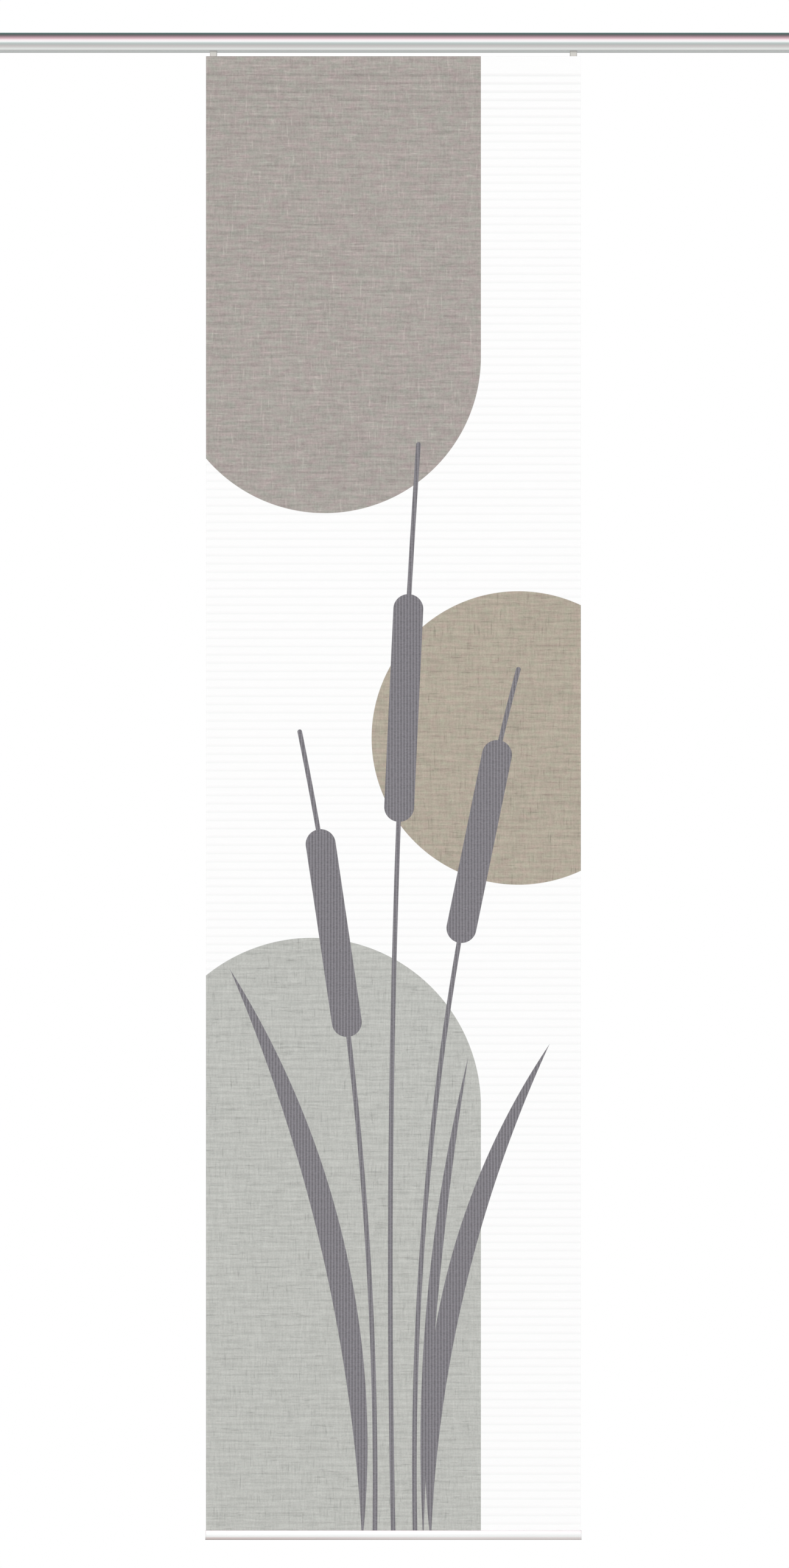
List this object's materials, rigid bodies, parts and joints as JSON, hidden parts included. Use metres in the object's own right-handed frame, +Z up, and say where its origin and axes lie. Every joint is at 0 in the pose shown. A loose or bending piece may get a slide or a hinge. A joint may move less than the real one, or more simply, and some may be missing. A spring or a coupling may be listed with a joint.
{
  "type": "sliding panel curtain with its rail",
  "caption": "Flat printed panel curtain with raised cross ribs, hung from gliders in a round two-channel metal rail and held straight by a weight bar.",
  "frame": {"origin": "top of the rail, midway along it and midway through its depth", "axes": "+X along the rail to the viewer's right, the printed front looks along -Y, +Z up"},
  "size_m": [1.4066, 0.0338, 2.414],
  "materials": {
    "rail_metal": "bright polished",
    "cap_plastic": "smooth silver grey",
    "glider_plastic": "smooth pale grey",
    "strip_metal": "satin anodised",
    "tape": "short dense loops",
    "printed_cloth": "flat weave with raised cross ribs, printed in muted tones",
    "bar_metal": "satin anodised",
    "plug_plastic": "smooth light grey"
  },
  "bodies": {
    "root": {"rail_tube": "rail_metal", "end_cap_left": "cap_plastic", "end_cap_right": "cap_plastic", "glider_left": "glider_plastic", "glider_right": "glider_plastic", "carriage": "strip_metal", "heading_tape": "tape", "cloth_panel": "printed_cloth", "weight_bar": "bar_metal", "bar_plug_left": "plug_plastic", "bar_plug_right": "plug_plastic"}
  },
  "joints": []
}
